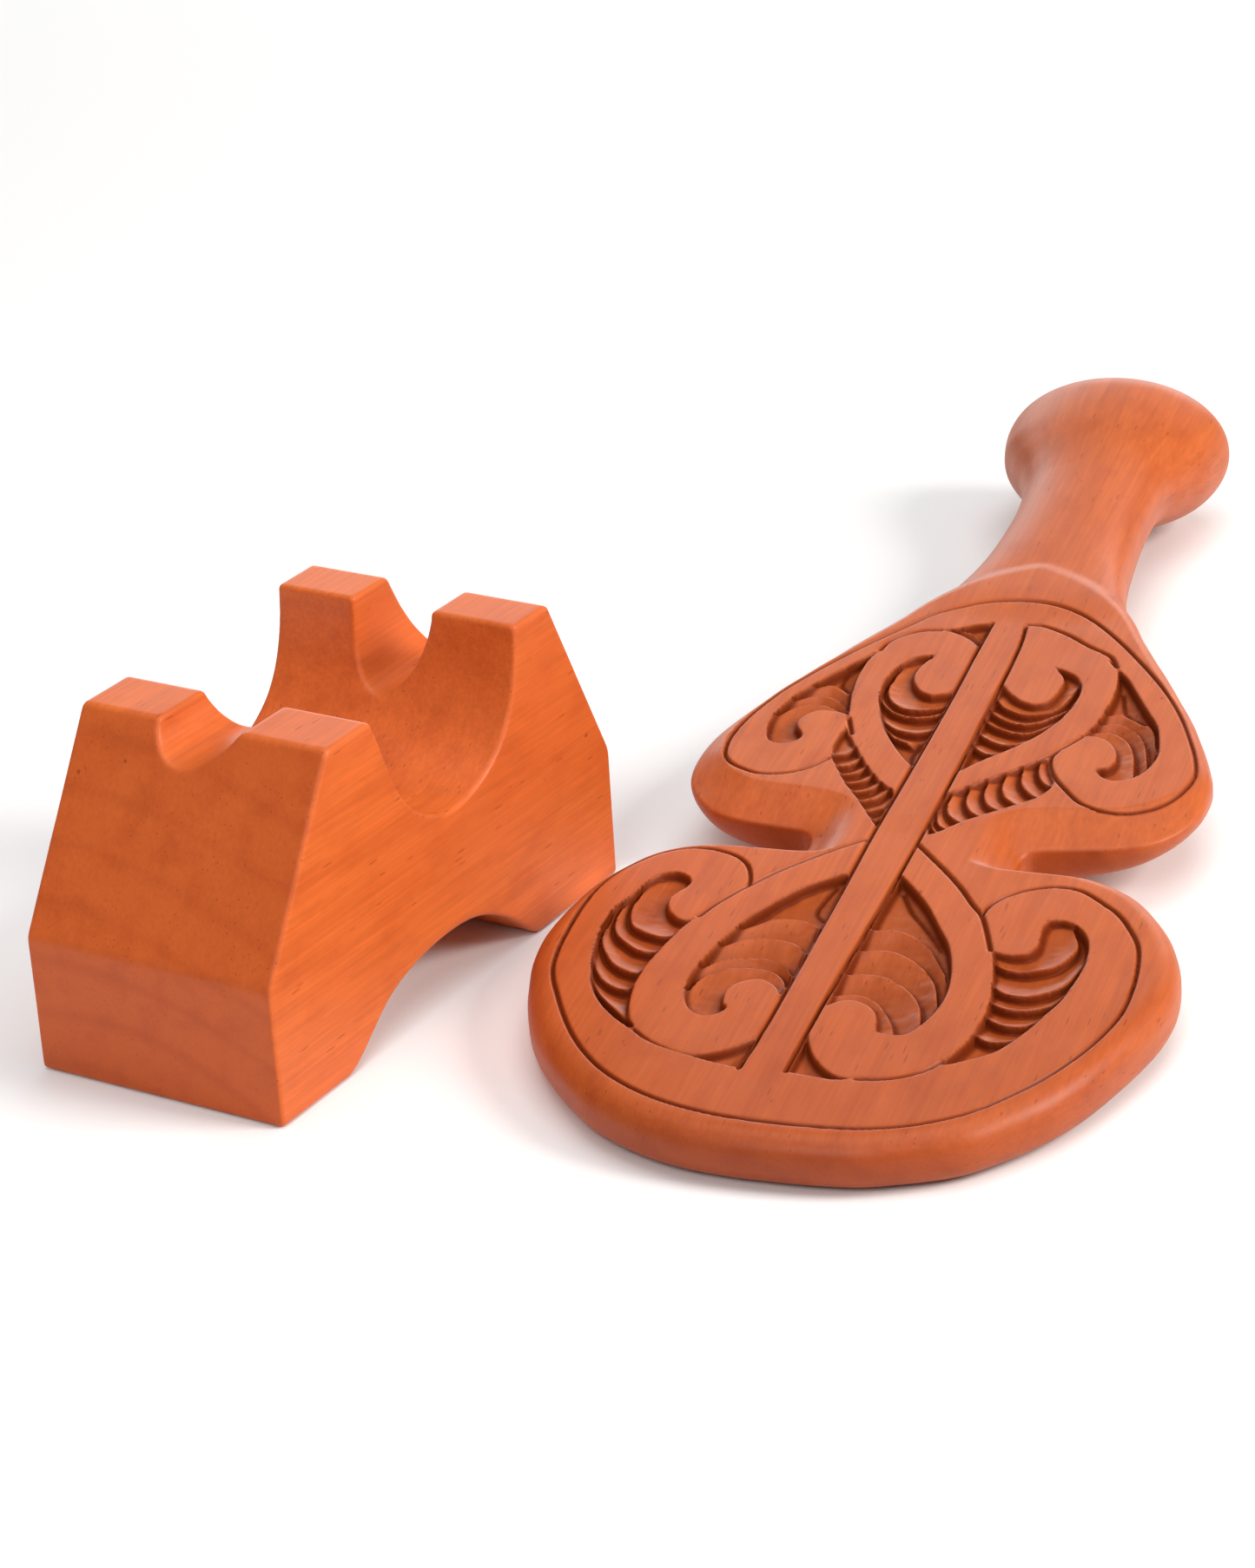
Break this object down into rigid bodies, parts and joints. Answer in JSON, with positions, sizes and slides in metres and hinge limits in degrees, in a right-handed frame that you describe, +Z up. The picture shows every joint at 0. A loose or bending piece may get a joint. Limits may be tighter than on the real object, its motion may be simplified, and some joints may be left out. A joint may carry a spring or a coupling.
{
  "type": "carved hand club with display stand",
  "caption": "Carved wooden hand club with a notched figure-of-eight blade, round grip and butt knob, lying beside its plain wooden saddle stand.",
  "frame": {"origin": "bottom centre of the box round the two pieces as they lie, on the surface they rest on", "axes": "+Z up, +Y along the stand from its near end towards the club's knob, +X from the stand towards the club"},
  "size_m": [0.2059, 0.3771, 0.0705],
  "materials": {
    "stand_wood": "oiled satin hardwood",
    "club_wood": "oiled satin hardwood, carved"
  },
  "bodies": {
    "stand": {"stand": "stand_wood"},
    "club": {"club": "club_wood"}
  },
  "joints": [
    {"name": "club_lift", "type": "slide", "parent": "stand", "child": "club", "axis": [0, 0, 1], "range_m": [0, 0.12]}
  ]
}
